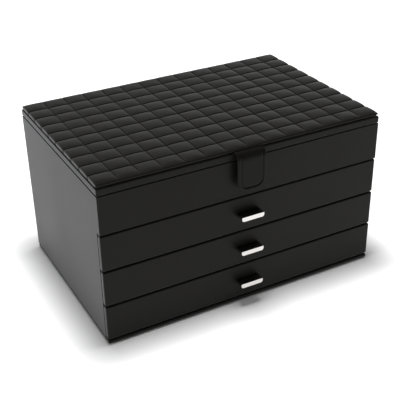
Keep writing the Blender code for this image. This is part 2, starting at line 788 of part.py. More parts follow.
def disc_mesh(name, radius, thickness):
    """A disc facing -Y, its back at Y = 0, its front rim eased."""
    profile = [
        (0, 0),
        (radius, 0),
        (radius, thickness - DISC_EDGE_RADIUS),
        (radius - DISC_EDGE_RADIUS, thickness),
        (0, thickness),
    ]
    shape = lathe(profile, DISC_STEPS)
    turn = Matrix.Rotation(math.pi / 2, 3, "X")
    bmesh.ops.rotate(shape, matrix=turn, verts=shape.verts)
    return mesh_of(name, shape)


def build_tab(leather, steel, lid_holder, holder):
    half = TAB_WIDTH / 2
    root = TAB_AXIS_Y + TAB_ROOT_RADIUS + SEAT_GAP
    neck = FRONT_Y + PAD_NECK_INSET - SEAT_GAP
    low = (-half, root, LID_TOP + SEAT_GAP)
    high = (half, neck, LID_TOP + SEAT_GAP + TAB_ROOT_THICKNESS)
    board("tab_anchor", low, high, leather, lid_holder)
    place = (0, TAB_AXIS_Y, TAB_AXIS_Z)
    tab = add_piece("closure_tab", tab_mesh("closure_tab"), leather, place, holder)
    shade_round(tab, 50)
    mesh = disc_mesh("tab_magnet", TAB_MAGNET_RADIUS, TAB_MAGNET_THICKNESS)
    place = (0, KEEPER_Y - SEAT_GAP, MAGNET_Z)
    shade_round(add_piece("tab_magnet", mesh, steel, place, holder))
    mesh = disc_mesh("keeper_plate", KEEPER_RADIUS, KEEPER_THICKNESS)
    place = (0, FRONT_Y - SEAT_GAP, MAGNET_Z)
    shade_round(add_piece("keeper_plate", mesh, steel, place))


def leaf_screw_holes(name, face_y, height, holder=None):
    """Blind holes for the leaf screws of both hinges, cut from a rear face."""
    shape = bmesh.new()
    radius = LEAF_SCREW_RADIUS + SEAT_GAP
    for hinge in (-HINGE_OFFSET, HINGE_OFFSET):
        for offset in (-LEAF_SCREW_OFFSET, LEAF_SCREW_OFFSET):
            x = hinge + offset
            start = (x, -(LEAF_SCREW_LENGTH - LEAF_THICKNESS), 0)
            add_rod(shape, radius, start, (x, CUT_OVERRUN, 0), SCREW_STEPS)
    return add_cutter(name, mesh_of(name, shape), (0, face_y, height), holder)


def knuckle_outline(way, plate_end, heel):
    """Rolled leaf in side view about the pin: barrel, leaf and stop heel.

    way is -1 for a leaf that runs down from the barrel and 1 for up.
    """
    flat = math.degrees(math.acos((LEAF_THICKNESS - BARREL_RADIUS) / BARREL_RADIUS))
    steps = ROUND_STEPS // 2
    points = arc((0, 0), BARREL_RADIUS, -180, 0, steps)
    if heel:
        rise = math.degrees(math.asin(HEEL_THICKNESS / 2 / BARREL_RADIUS))
        points = arc((0, 0), BARREL_RADIUS, -180, -rise, steps)
        points += [(heel, -HEEL_THICKNESS / 2), (heel, HEEL_THICKNESS / 2)]
        points += arc((0, 0), BARREL_RADIUS, rise, flat, steps // 2)
    else:
        points += arc((0, 0), BARREL_RADIUS, 0, flat, steps // 2)[1:]
    points += [
        (-BARREL_RADIUS + LEAF_THICKNESS, plate_end),
        (-BARREL_RADIUS, plate_end),
    ]
    return [(y, z * way) for y, z in points]


def heel_reach():
    """Heel that meets the case leaf when the lid stands fully open."""
    lean = math.radians(LID_OPEN_DEGREES - 90)
    room = BARREL_RADIUS - LEAF_THICKNESS - SEAT_GAP
    return (room - HEEL_THICKNESS / 2 * math.cos(lean)) / math.sin(lean)


def leaf_cutters(name, knuckle_slots, screw_height, place, holder):
    """Bore with screw holes, and the slots between the knuckles."""
    half = HINGE_LENGTH / 2
    shape = bmesh.new()
    end = half + CUT_OVERRUN
    add_rod(shape, BORE_RADIUS, (-end, 0, 0), (end, 0, 0), ROUND_STEPS)
    radius = LEAF_SCREW_RADIUS + SEAT_GAP / 2
    inside = -BARREL_RADIUS - CUT_OVERRUN
    outside = -BARREL_RADIUS + LEAF_THICKNESS + CUT_OVERRUN
    for x in (-LEAF_SCREW_OFFSET, LEAF_SCREW_OFFSET):
        start = (x, inside, screw_height)
        add_rod(shape, radius, start, (x, outside, screw_height), SCREW_STEPS)
    bore = add_cutter(name + "_bore", mesh_of(name + "_bore", shape), place, holder)
    shape = bmesh.new()
    reach = heel_reach() + CUT_OVERRUN
    for left, right, low, high in knuckle_slots:
        add_block(shape, (left, inside, low), (right, reach, high))
    slots = add_cutter(name + "_slots", mesh_of(name + "_slots", shape), place, holder)
    return bore, slots


def build_hinge(side, way, steel, screw, lid_holder):
    """One lid hinge: case leaf, lid leaf, pin and four screws."""
    centre = (way * HINGE_OFFSET, HINGE_Y, HINGE_Z)
    half = HINGE_LENGTH / 2
    centre_half = CENTRE_KNUCKLE_LENGTH / 2
    over = BARREL_RADIUS + CUT_OVERRUN

    name = "hinge_" + side + "_case_leaf"
    outline = knuckle_outline(-1, LEAF_CLEARANCE + CASE_LEAF_HEIGHT, 0)
    mesh = mesh_of(name, prism(outline, -half, half, "X"))
    leaf = add_piece(name, mesh, steel, centre)
    slot = centre_half + SEAT_GAP
    slots = [(-slot, slot, -LEAF_CLEARANCE, over)]
    height = CASE_SCREW_Z - HINGE_Z
    for cutter in leaf_cutters(name, slots, height, centre, None):
        cut(leaf, cutter)
    shade_round(leaf)

    name = "hinge_" + side + "_lid_leaf"
    outline = knuckle_outline(1, LID_TOP - LID_LEAF_MARGIN - HINGE_Z, heel_reach())
    mesh = mesh_of(name, prism(outline, -half, half, "X"))
    leaf = add_piece(name, mesh, steel, centre, lid_holder)
    end = half + CUT_OVERRUN
    slots = [
        (-end, -centre_half, -over, LEAF_CLEARANCE),
        (centre_half, end, -over, LEAF_CLEARANCE),
    ]
    height = LID_SCREW_Z - HINGE_Z
    for cutter in leaf_cutters(name, slots, height, centre, lid_holder):
        cut(leaf, cutter)
    shade_round(leaf)

    seat = half + SEAT_GAP
    profile = [
        (0, -seat - PIN_HEAD_THICKNESS),
        (PIN_HEAD_RADIUS / 2, -seat - PIN_HEAD_THICKNESS),
        (PIN_HEAD_RADIUS, -seat),
        (PIN_RADIUS, -seat),
        (PIN_RADIUS, seat),
        (PIN_HEAD_RADIUS, seat),
        (PIN_HEAD_RADIUS / 2, seat + PIN_HEAD_THICKNESS),
        (0, seat + PIN_HEAD_THICKNESS),
    ]
    name = "hinge_" + side + "_pin"
    turn = (0, math.pi / 2, 0)
    mesh = mesh_of(name, lathe(profile, ROUND_STEPS))
    shade_round(add_piece(name, mesh, steel, centre, None, turn))

    seat_y = REAR_Y + SEAT_GAP + LEAF_THICKNESS + SEAT_GAP
    turn = (-math.pi / 2, 0, 0)
    rows = (("_case_screw_", CASE_SCREW_Z, None), ("_lid_screw_", LID_SCREW_Z, lid_holder))
    for part, z, holder in rows:
        for number, offset in ((1, -LEAF_SCREW_OFFSET), (2, LEAF_SCREW_OFFSET)):
            name = "hinge_" + side + part + str(number)
            place = (centre[0] + offset, seat_y, z)
            add_piece(name, screw, steel, place, holder, turn)


# Share of the slit depth over which a ring roll rounds off.
ROLL_RISE_SHARE = 0.6

# Heights of the two rows of leaf screws.
CASE_SCREW_Z = HINGE_Z - LEAF_CLEARANCE - CASE_LEAF_HEIGHT / 2
LID_SCREW_Z = (HINGE_Z + LEAF_CLEARANCE + LID_TOP - LID_LEAF_MARGIN) / 2


def main():
    clear_scene()
    leather = make_material("black_leatherette", (0.035, 0.035, 0.036), 0.55, 0.0)
    lid_leather = make_material("quilted_leatherette", (0.045, 0.045, 0.047), 0.5, 0.0)
    velvet = make_material("grey_velvet", (0.16, 0.155, 0.15), 0.95, 0.0)
    cushion = make_material("grey_velvet_cushion", (0.2, 0.195, 0.19), 0.95, 0.0)
    felt = make_material("black_felt", (0.02, 0.02, 0.02), 1.0, 0.0)
    chrome = make_material("polished_chrome", (0.85, 0.85, 0.86), 0.08, 1.0)
    steel = make_material("nickel_plated_steel", (0.6, 0.6, 0.6), 0.3, 1.0)
    mirror = make_material("mirror_glass", (0.9, 0.9, 0.9), 0.02, 1.0)

    lid_holder = axis_empty("lid_axis", (0, HINGE_Y, HINGE_Z))
    tab_holder = axis_empty("tab_axis", (0, TAB_AXIS_Y, TAB_AXIS_Z), lid_holder)
    build_base(leather, felt)
    build_sides(leather)
    build_upper_front(leather)
    build_carcase(leather, velvet)
    build_tray(velvet, cushion)
    build_drawers(leather, velvet, chrome, steel)
    build_lid(leather, velvet, mirror, lid_holder)
    build_quilt(lid_leather, lid_holder)
    build_tab(leather, steel, lid_holder, tab_holder)
    screw = screw_mesh(
        "leaf_screw", LEAF_SCREW_RADIUS, LEAF_SCREW_LENGTH - SEAT_GAP,
        LEAF_SCREW_HEAD_RADIUS, LEAF_SCREW_HEAD_HEIGHT,
    )
    for side, way in (("left", -1), ("right", 1)):
        build_hinge(side, way, steel, screw, lid_holder)


main()
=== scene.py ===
import math
import random

import bmesh
import bpy
from mathutils import Matrix, Vector, noise


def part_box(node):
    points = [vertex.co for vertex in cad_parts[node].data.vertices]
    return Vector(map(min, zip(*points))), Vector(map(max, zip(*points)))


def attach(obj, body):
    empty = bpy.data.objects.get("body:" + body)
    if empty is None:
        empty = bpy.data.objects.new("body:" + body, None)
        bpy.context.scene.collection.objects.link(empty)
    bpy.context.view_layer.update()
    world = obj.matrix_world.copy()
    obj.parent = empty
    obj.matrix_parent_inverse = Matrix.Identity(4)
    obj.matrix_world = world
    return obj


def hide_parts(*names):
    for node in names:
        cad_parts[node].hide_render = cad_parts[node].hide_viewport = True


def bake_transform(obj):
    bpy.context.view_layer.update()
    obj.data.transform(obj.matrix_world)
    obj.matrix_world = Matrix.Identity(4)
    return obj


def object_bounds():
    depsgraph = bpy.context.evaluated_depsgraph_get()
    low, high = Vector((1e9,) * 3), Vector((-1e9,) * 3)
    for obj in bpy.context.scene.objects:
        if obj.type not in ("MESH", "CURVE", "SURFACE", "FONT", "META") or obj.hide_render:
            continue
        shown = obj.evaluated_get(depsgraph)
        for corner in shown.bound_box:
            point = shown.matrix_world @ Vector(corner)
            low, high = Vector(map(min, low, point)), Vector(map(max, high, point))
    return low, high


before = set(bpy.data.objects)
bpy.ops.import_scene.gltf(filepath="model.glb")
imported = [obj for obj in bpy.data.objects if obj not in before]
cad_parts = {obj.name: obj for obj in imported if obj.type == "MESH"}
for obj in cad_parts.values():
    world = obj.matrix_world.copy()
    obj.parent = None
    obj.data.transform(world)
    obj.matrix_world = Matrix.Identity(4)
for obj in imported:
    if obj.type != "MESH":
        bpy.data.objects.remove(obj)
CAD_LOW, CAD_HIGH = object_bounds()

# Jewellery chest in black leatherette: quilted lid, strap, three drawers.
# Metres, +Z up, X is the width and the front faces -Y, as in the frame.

MM = 0.001

# Sizes

# Boards: radius of each kind of edge, and how many faces turn it.
CASE_CORNER_RADIUS = 2.0 * MM
CASE_EDGE_RADIUS = 0.9 * MM
FRONT_EDGE_RADIUS = 1.6 * MM
LID_EDGE_RADIUS = 1.0 * MM
BASE_EDGE_RADIUS = 1.9 * MM
ROUNDING_STEPS = 4
LID_WRAP_RAISE = 0.3 * MM

# Cushion: cells, rolled edge, depth of the seams, and fall towards each side.
QUILT_COLUMNS = 14
QUILT_ROWS = 10
QUILT_SIDE_SHOULDER = 1.8 * MM
QUILT_FRONT_SHOULDER = 2.4 * MM
QUILT_SIDE_SQUARENESS = 0.72
QUILT_FRONT_SQUARENESS = 1.0
QUILT_ROLL_START = 25
QUILT_SIDE_FALL = 0.4 * MM
QUILT_FRONT_FALL = 0.9 * MM
QUILT_REAR_FALL = 0.3 * MM
QUILT_EDGE_REACH = 7.0 * MM
QUILT_SEAM_DEPTH = 0.9 * MM
QUILT_CROSSING_DEPTH = 0.3 * MM
QUILT_COLUMN_PINCH = 1.1 * MM
QUILT_ROW_PINCH = 1.7 * MM
QUILT_PINCH_WIDTH = 0.48 * MM
QUILT_BULGE_RISE = 2.8 * MM
QUILT_SIDE_BULGE_RISE = 1.3 * MM
QUILT_NECK_RISE = 1.9 * MM
QUILT_SIDE_NECK_RISE = 0.1 * MM
QUILT_NECK_INSET = 0.9 * MM
QUILT_SIDE_SEAM_SHARE = 0.9
QUILT_FRONT_SEAM_SHARE = 0.2
QUILT_SIDE_SCALLOP = 1.0 * MM
QUILT_FRONT_SCALLOP = 0.2 * MM
QUILT_SCALLOP_WIDTH = 1.4 * MM
QUILT_PUCKER = 0.07 * MM
QUILT_SETTLING = 0.15 * MM
QUILT_ROLL_STEPS = 14
QUILT_CORNER_TURN = 6 * MM
QUILT_PILLOW_POWER = 2.3
QUILT_FULLNESS = (0.86, 1.06)
QUILT_CELL_STOPS = (
    0, 0.012, 0.025, 0.045, 0.08, 0.14, 0.22, 0.32, 0.43, 0.57, 0.68, 0.78, 0.86, 0.92, 0.955, 0.975, 0.988
)

# Stitches of quilting and strap.
STITCH_LENGTH = 2.6 * MM
STITCH_PITCH = 3.2 * MM
STITCH_RADIUS = 0.24 * MM
STITCH_RISE = 0.12 * MM
STITCH_END_GAP = 6 * MM

# Strap: thin where it is sewn in, full below the arch, with a groove for the thread.
STRAP_THICKNESS = 2.2 * MM
STRAP_ROOT_THICKNESS = 1.2 * MM
STRAP_ROOT_REACH = 0.9 * MM
STRAP_ROOT_RUN = 5 * MM
STRAP_GROWTH_RUN = 9 * MM
STRAP_EDGE_RADIUS = 0.9 * MM
STRAP_CORNER_RADIUS = 12.5 * MM
STRAP_STITCH_INSET = 4.5 * MM
STRAP_GROOVE_DEPTH = 1.0 * MM
STRAP_GROOVE_WIDTH = 0.7 * MM
STRAP_ARCH_DROP = 9.0 * MM
STRAP_STITCH_START = 1.5 * MM
STRAP_ARCH_STEPS = 16
STRAP_TIP_STEPS = 24
STRAP_SAMPLES = 110
STRAP_COLUMNS = 64

# Pulls: corners of the plate, and the easing of its face edge.
PULL_TOP_RADIUS = 0.7 * MM
PULL_CORNER_RADIUS = 2.7 * MM
PULL_EDGE_RADIUS = 0.4 * MM
PULL_CORNER_STEPS = 8

# Ring cushion and the frame round the mirror.
RING_ROLLS = 5
RING_SLIT_DEPTH = 13 * MM
RING_END_ROUND = 7 * MM
RING_ROLL_SQUARENESS = 0.6
RING_END_HEIGHT = 0.55
RING_RIPPLE = 0.25 * MM
RING_LENGTH_STEPS = 40
RING_ROUND_STEPS = 14
LINING_BORDER = 0.3 * MM
LINING_EDGE_RADIUS = 1.2 * MM

# Viewpoint: bearing, height and roll in degrees, and its place in metres.
VIEW_AROUND = -27.931
VIEW_ABOVE = 29.540
VIEW_ROLL = -1.074
VIEW_LENS = 76.13
VIEW_SENSOR = 36.0
VIEW_PLACE = (-0.41253, -0.78105, 0.57493)

# Floor: its glow, held down near the chest as a painted shadow and rising with distance from it, and an
# added glow seen only in gloss, dimmed in a band ahead of the chest as painted shade in the front's
# reflections.
FLOOR_SIZE = 6
FLOOR_LIFT = 0.28
FLOOR_LIFT_FAR = 0.34
FLOOR_CLOSE = 0.004
FLOOR_NEAR = 0.065
FLOOR_FAR = 0.9
FLOOR_GLOW_IN_GLOSS = 0.3
GLOSS_SHADE_BESIDE = 0.10
GLOSS_SHADE_NEAR = 0.16
GLOSS_SHADE_FAR = 0.42

# Room: its plain level, the ceiling's share of it, and the dimming behind the viewer.
ROOM_LEVEL = 0.26
CEILING_LEVEL = 0.22
HORIZON_RISE = 0.05
CEILING_RISE = 0.48
BEHIND_LEVEL = 0.12
BEHIND_FROM = -0.35
BEHIND_TO = 0.25

# Lamps: name, place, target, width, height, power, and whether gloss shows them.
LAMPS = (
    ("overhead", (-0.02, 0.0, 1.7), (-0.02, 0.0, 0.1), 0.4, 0.4, 25, False),
    ("left", (-1.5, -0.05, 0.28), (-0.17, -0.05, 0.05), 0.8, 0.5, 5, True),
)


def sRGB(code):
    """Linear colour of a written sRGB hex colour."""
    parts = [int(code[i:i + 2], 16) / 255 for i in (1, 3, 5)]
    line = [p / 12.92 if p <= 0.04045 else ((p + 0.055) / 1.055) ** 2.4 for p in parts]
    return (*line, 1.0)


# Materials

def new_finish(name, **values):
    """A material and its shader, with the values that are the same all over."""
    finish = bpy.data.materials.new(name)
    finish.use_nodes = True
    shader = finish.node_tree.nodes["Principled BSDF"]
    for socket, value in values.items():
        shader.inputs[socket.replace("_", " ")].default_value = value
    return finish, shader


def add_node(shader, kind, settings=None, values=None, links=None):
    """A node with its own settings, its socket values and what feeds its sockets."""
    tree = shader.id_data
    node = tree.nodes.new(kind)
    for name, value in (settings or {}).items():
        setattr(node, name, value)
    for socket, value in (values or {}).items():
        node.inputs[socket].default_value = value
    for socket, source in (links or {}).items():
        tree.links.new(source, node.inputs[socket])
    return node


def feed(shader, socket, source):
    shader.id_data.links.new(source, shader.inputs[socket])


def stretched(shader, stretch):
    """Places on the object in metres, stretched along its axes."""
    places = add_node(shader, "ShaderNodeTexCoord").outputs["Object"]
    spread = add_node(
        shader, "ShaderNodeMapping", values={"Scale": stretch}, links={"Vector": places}
    )
    return spread.outputs["Vector"]


def cloud(shader, scale, detail=3.0, stretch=(1, 1, 1), roughness=0.55):
    """Soft noise from 0 to 1."""
    return add_node(
        shader,
        "ShaderNodeTexNoise",
        values={"Scale": scale, "Detail": detail, "Roughness": roughness},
        links={"Vector": stretched(shader, stretch)},
    ).outputs["Fac"]


def between(shader, source, low, high, start=0.3, end=0.7):
    """A 0 to 1 pattern turned into values from low to high."""
    return add_node(
        shader,
        "ShaderNodeMapRange",
        values={"From Min": start, "From Max": end, "To Min": low, "To Max": high},
        links={"Value": source},
    ).outputs["Result"]


def mixed(shader, source, first, second):
    """Two colours mixed by a 0 to 1 pattern."""
    mix = add_node(
        shader,
        "ShaderNodeMix",
        settings={"data_type": "RGBA"},
        links={"Factor": source},
    )
    for socket in mix.inputs:
        if socket.type == "RGBA" and socket.name == "A":
            socket.default_value = first
        if socket.type == "RGBA" and socket.name == "B":
            socket.default_value = second
    return [out for out in mix.outputs if out.type == "RGBA"][0]


def bumped(shader, source, depth, strength=1.0, under=None):
    """Surface relief of that depth from a 0 to 1 pattern."""
    links = {"Height": source}
    if under is not None:
        links["Normal"] = under
    return add_node(
        shader,
        "ShaderNodeBump",
        values={"Distance": depth, "Strength": strength},
        links=links,
    ).outputs["Normal"]


def leatherette(name, dark, light, roughness, level, sheen, grain, relief):
    """Embossed PU film on a knitted back: a pebble grain in a satin film.

    The film takes little light in and turns pale only where it is seen at a
    low angle. Film thickness and rub change its sheen in soft clouds.
    """
    finish, shader = new_finish(
        name, IOR=1.48, Specular_IOR_Level=level, Sheen_Roughness=0.3
    )
    shader.inputs["Sheen Tint"].default_value = sRGB("#dcdce2")
    clouds = cloud(shader, 16, 4.0, (1.0, 1.0, 0.45))
    feed(shader, "Base Color", mixed(shader, clouds, sRGB(dark), sRGB(light)))
    satin = between(shader, clouds, roughness - 0.045, roughness + 0.045)
    feed(shader, "Roughness", satin)
    feed(shader, "Sheen Weight", between(shader, clouds, sheen * 0.86, min(sheen * 1.14, 1.0)))
    pebbles = add_node(
        shader,
        "ShaderNodeTexVoronoi",
        settings={"feature": "SMOOTH_F1"},
        values={"Scale": 1 / grain, "Smoothness": 0.6},
        links={"Vector": stretched(shader, (1, 1, 1))},
    ).outputs["Distance"]
    creases = cloud(shader, 0.35 / grain, 2.0)
    slow = bumped(shader, creases, relief * 2.0, 0.35)
    feed(shader, "Normal", bumped(shader, pebbles, relief, 0.5, slow))
    return finish


def velvet(name, dark, light, pile):
    """Short cut pile: each tuft leans its own way, so the nap shows in clouds."""
    finish, shader = new_finish(
        name,
        Specular_IOR_Level=0.1,
        Roughness=0.95,
        Sheen_Weight=0.45,
        Sheen_Roughness=0.4,
    )
    shader.inputs["Sheen Tint"].default_value = sRGB("#c9c5c0")
    nap = cloud(shader, 38, 5.0, (1.0, 0.6, 1.0), 0.65)
    feed(shader, "Base Color", mixed(shader, nap, sRGB(dark), sRGB(light)))
    tufts = cloud(shader, 1 / pile, 2.0)
    feed(shader, "Normal", bumped(shader, tufts, 0.35 * MM, 0.5))
    return finish


def felt(name, dark, light):
    """Pressed fibres, matt, with a coarse tangle."""
    finish, shader = new_finish(name, Specular_IOR_Level=0.05, Roughness=1.0)
    tangle = cloud(shader, 900, 6.0, (1, 1, 1), 0.75)
    feed(shader, "Base Color", mixed(shader, tangle, sRGB(dark), sRGB(light)))
    feed(shader, "Normal", bumped(shader, tangle, 0.2 * MM, 0.6))
    return finish


def plated(name, dull, bright, roughness, spread, brushed, stretch):
    """Plated metal: even colour, and polish that varies with handling or brushing."""
    finish, shader = new_finish(name, Metallic=1.0)
    smear = cloud(shader, brushed, 3.0, stretch)
    feed(shader, "Base Color", mixed(shader, smear, sRGB(dull), sRGB(bright)))
    feed(shader, "Roughness", between(shader, smear, roughness, roughness + spread))
    feed(shader, "Normal", bumped(shader, smear, 0.01 * MM, 0.15))
    return finish


def thread(name, dark, light):
    """Twisted polyester thread, waxed, its plies drawn as slanting bands."""
    finish, shader = new_finish(name, Specular_IOR_Level=0.3, Roughness=0.6)
    plies = add_node(
        shader,
        "ShaderNodeTexWave",
        settings={"bands_direction": "DIAGONAL"},
        values={"Scale": 700.0, "Distortion": 0.5},
        links={"Vector": stretched(shader, (1, 1, 1))},
    ).outputs["Fac"]
    feed(shader, "Base Color", mixed(shader, plies, sRGB(dark), sRGB(light)))
    feed(shader, "Normal", bumped(shader, plies, 0.05 * MM, 0.5))
    return finish


# Smooth satin film glued over the boards of the case.
CASE_LEATHER = leatherette("black_leatherette", "#11110e", "#191814", 0.46, 0.12, 0.85, 1.1 * MM, 0.05 * MM)
# The same film, softer and more open in grain where foam lifts it.
QUILT_LEATHER = leatherette(
    "quilted_black_leatherette", "#11100e", "#181715", 0.42, 0.27, 0.10, 1.3 * MM, 0.10 * MM
)
# Doubled film of the strap, turned over at its edges.
STRAP_LEATHER = leatherette("strap_leatherette", "#0e0e0c", "#141311", 0.44, 0.11, 0.2, 1.0 * MM, 0.05 * MM)
# Grey velvet glued to the boards inside.
LINING_VELVET = velvet("grey_velvet", "#5a5753", "#6c6965", 1.2 * MM)
# The same velvet over foam, its nap a little lighter.
CUSHION_VELVET = velvet("grey_cushion_velvet", "#66635f", "#7b7873", 1.2 * MM)
# Underside felt that keeps the table from scratches.
FOOT_FELT = felt("black_felt", "#151515", "#262626")
# Polished chrome: a mirror with a few faint finger smears.
CHROME = plated("polished_chrome", "#cbc8c6", "#d6d3d0", 0.04, 0.05, 60, (1, 1, 1))
# Satin nickel on steel, drawn lengthwise.
NICKEL = plated("nickelled_steel", "#a9a59f", "#c2beb7", 0.24, 0.14, 300, (0.08, 1, 1))
# Silvered glass: nearly clean, with faint haze from wiping.
MIRROR = plated("silvered_glass", "#dfe3e2", "#eef0ef", 0.01, 0.03, 12, (1, 1, 1))
# Black thread of the quilting and of the strap.
THREAD = thread("black_thread", "#0f0f0f", "#1d1d1d")


# Making of pieces

def add_piece(name, shape, finishes, body, even=False):
    """A mesh piece that rides on a body and takes a slot's finish."""
    bmesh.ops.recalc_face_normals(shape, faces=shape.faces)
    mesh = bpy.data.meshes.new(name)
    shape.to_mesh(mesh)
    shape.free()
    mesh.shade_smooth()
    for finish in finishes:
        mesh.materials.append(finish)
    thing = bpy.data.objects.new(name, mesh)
    bpy.context.scene.collection.objects.link(thing)
    if even:
        even_normals(thing)
    if body:
        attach(thing, body)
    return thing


def even_normals(thing):
    """Large faces stay flat, and the shade turns only over the rounded edges."""
    modifier = thing.modifiers.new("even", "WEIGHTED_NORMAL")
    modifier.mode = "FACE_AREA"
    modifier.weight = 100
    modifier.keep_sharp = True


def bake_modifiers(thing):
    """The shape with its modifiers worked in, as a bmesh."""
    depsgraph = bpy.context.evaluated_depsgraph_get()
    shape = bmesh.new()
    shape.from_object(thing, depsgraph)
    return shape


def rounded_box(low, high, radius, steps=ROUNDING_STEPS):
    """A board with every edge rounded over by the film that wraps it."""
    shape = bmesh.new()
    size = Vector(high) - Vector(low)
    made = bmesh.ops.create_cube(shape, size=1)
    bmesh.ops.scale(shape, vec=size, verts=made["verts"])
    bmesh.ops.translate(shape, vec=(Vector(low) + Vector(high)) / 2, verts=made["verts"])
    bmesh.ops.bevel(
        shape,
        geom=shape.edges[:],
        offset=radius,
        segments=steps,
        profile=0.5,
        affect="EDGES",
        clamp_overlap=True,
    )
    return shape


def round_by_weight(shape, weigh, widest, steps=ROUNDING_STEPS):
    """Edges rounded each by its own share of the widest radius."""
    mesh = bpy.data.meshes.new("unrounded")
    bmesh.ops.recalc_face_normals(shape, faces=shape.faces)
    shape.to_mesh(mesh)
    shape.free()
    thing = bpy.data.objects.new("unrounded", mesh)
    bpy.context.scene.collection.objects.link(thing)
    weights = mesh.attributes.new("bevel_weight_edge", "FLOAT", "EDGE")
    for edge in mesh.edges:
        ends = [mesh.vertices[i].co for i in edge.vertices]
        weights.data[edge.index].value = weigh(*ends)
    modifier = thing.modifiers.new("rounding", "BEVEL")
    modifier.limit_method = "WEIGHT"
    modifier.width = widest
    modifier.segments = steps
    done = bake_modifiers(thing)
    bpy.data.objects.remove(thing, do_unlink=True)
    bpy.data.meshes.remove(mesh)
    return done


class Panels:
    """Flat faces that share their corners."""

    def __init__(self):
        self.shape = bmesh.new()
        self.corners = {}

    def corner(self, point):
        key = tuple(round(value, 6) for value in point)
        if key not in self.corners:
            self.corners[key] = self.shape.verts.new(point)
        return self.corners[key]

    def face(self, points, finish=0):
        made = self.shape.faces.new([self.corner(point) for point in points])
        made.material_index = finish
        return made


def case_wrap():
    """One sheet of leatherette round both sides and the fixed front panel."""
    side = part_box("right_side_panel")
    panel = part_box("upper_front_panel")
    out_x = side[1].x
    in_x = side[0].x
    rear = side[1].y
    front = panel[0].y
    inner = panel[1].y
    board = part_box("shelf_upper")[0].y
    bottom = side[0].z
    step = panel[0].z
    rim = panel[1].z
    walls = Panels()
    for way in (-1, 1):
        outer_x = way * out_x
        inner_x = way * in_x
        rear_line = [(rear, bottom), (rear, rim)]
        board_line = [(board, step), (board, bottom)]
        outline = rear_line + [(front, rim), (front, step)] + board_line
        walls.face([(outer_x, y, z) for y, z in outline])
        outline = rear_line + [(inner, rim), (inner, step)] + board_line
        walls.face([(inner_x, y, z) for y, z in outline], 1)
        for y, top in ((board, step), (rear, rim)):
            walls.face([(outer_x, y, bottom), (inner_x, y, bottom), (inner_x, y, top), (outer_x, y, top)])
        walls.face([
            (outer_x, board, bottom), (outer_x, rear, bottom),
            (inner_x, rear, bottom), (inner_x, board, bottom),
        ])
    for x, y, finish in ((out_x, front, 0), (in_x, inner, 1)):
        walls.face([(-x, y, step), (x, y, step), (x, y, rim), (-x, y, rim)], finish)
    for end, z in ((rear, rim), (board, step)):
        walls.face([
            (-out_x, end, z), (-out_x, front, z), (out_x, front, z), (out_x, end, z),
            (in_x, end, z), (in_x, inner, z), (-in_x, inner, z), (-in_x, end, z),
        ])

    def weigh(a, b):
        corner = all(abs(abs(p.x) - out_x) < MM / 10 and abs(p.y - front) < MM / 10 for p in (a, b))
        if corner:
            return 1.0
        return CASE_EDGE_RADIUS / CASE_CORNER_RADIUS

    shape = round_by_weight(walls.shape, weigh, CASE_CORNER_RADIUS)
    thing = add_piece("case_wrap", shape, [CASE_LEATHER, LINING_VELVET], "case", True)
    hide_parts("left_side_panel", "right_side_panel", "upper_front_panel")


def wrapped_board(name, node, radius, body, raised=0.0):
    """A leatherette-covered board in the place of its CAD board."""
    low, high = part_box(node)
    low.z += raised
    thing = add_piece(name, rounded_box(low, high, radius), [CASE_LEATHER], body, True)
    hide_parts(node)


# Quilted lid

def quilt_stops(half, cells, shoulder):
    """Places across the quilt, close together beside each seam."""
    pitch = 2 * half / cells
    stops = []
    for cell in range(cells):
        for share in QUILT_CELL_STOPS:
            stops.append(-half + pitch * (cell + share))
    stops.append(half)
    low = -half + shoulder
    inner = [place for place in stops if abs(place) < half - shoulder * 1.15]
    return [low] + inner + [-low]


def seam_nearness(place, half, cells):
    """Distance to the nearest sewn seam, and 0 to 1 from seam to crown."""
    pitch = 2 * half / cells
    along = (place + half) / pitch
    nearest = min(max(round(along), 1), cells - 1)
    distance = abs(along - nearest) * pitch
    return distance, min(distance / (pitch / 2), 1.0), nearest


def pillow(share):
    """How far the foam has risen, from 0 at the seam to 1 at the crown."""
    return 1 - (1 - share) ** QUILT_PILLOW_POWER


